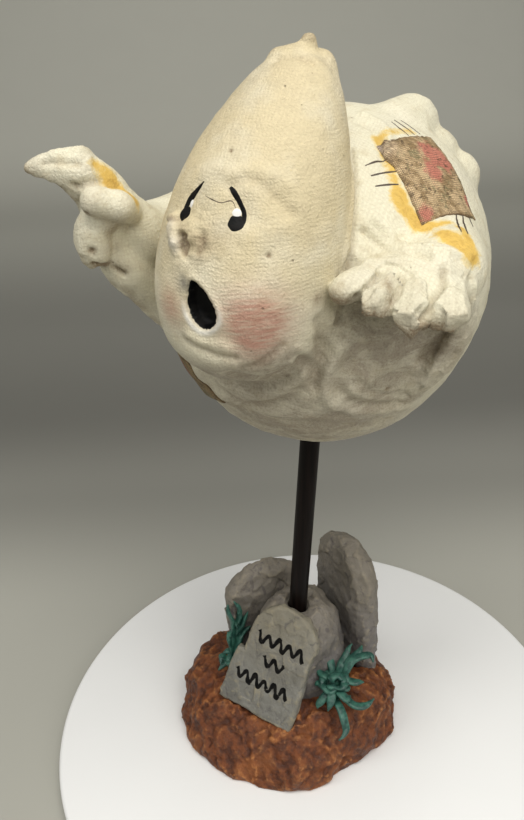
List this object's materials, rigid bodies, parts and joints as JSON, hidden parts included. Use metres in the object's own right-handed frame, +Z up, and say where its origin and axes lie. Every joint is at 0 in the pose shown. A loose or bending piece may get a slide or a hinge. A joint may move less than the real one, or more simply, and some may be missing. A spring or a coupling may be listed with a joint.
{
  "type": "ghost figure",
  "caption": "Standing ornament: a sheet ghost with raised hands and an open mouth, held by a rod above a mound with gravestones and weeds.",
  "frame": {"origin": "centre of the mound's flat underside, on the table", "axes": "+Z up; -Y is the way the face and the front gravestone look; +X is the ghost's left"},
  "size_m": [0.1284, 0.1477, 0.296],
  "materials": {
    "sheet_white": "matt cream-white paint over a woven surface",
    "bare_clay": "matt, rough",
    "patch_cloth": "woven cotton under varnish",
    "dark_wood": "semi-gloss black-brown paint",
    "earth_brown": "satin red-brown paint, dry-brushed orange",
    "grave_stone": "matt mottled grey paint",
    "weed_green": "satin green paint"
  },
  "bodies": {
    "root": {"body_shell": "sheet_white", "head_shell": "sheet_white", "hood_nub": "sheet_white", "nose": "bare_clay", "rod_socket": "bare_clay", "right_arm": "sheet_white", "right_pointing_finger": "sheet_white", "right_thumb": "sheet_white", "right_folded_fingers": "sheet_white", "left_arm": "sheet_white", "left_thumb": "sheet_white", "left_index_finger": "sheet_white", "left_middle_finger": "sheet_white", "left_little_finger": "sheet_white", "tail_near_folds": "sheet_white", "tail_far_folds": "sheet_white", "back_patch": "patch_cloth", "flank_patch": "patch_cloth", "rod": "dark_wood", "mound": "earth_brown", "centre_rock": "grave_stone", "front_gravestone": "grave_stone", "left_gravestone": "grave_stone", "right_gravestone": "grave_stone", "left_weed": "weed_green", "right_weed": "weed_green"}
  },
  "joints": []
}
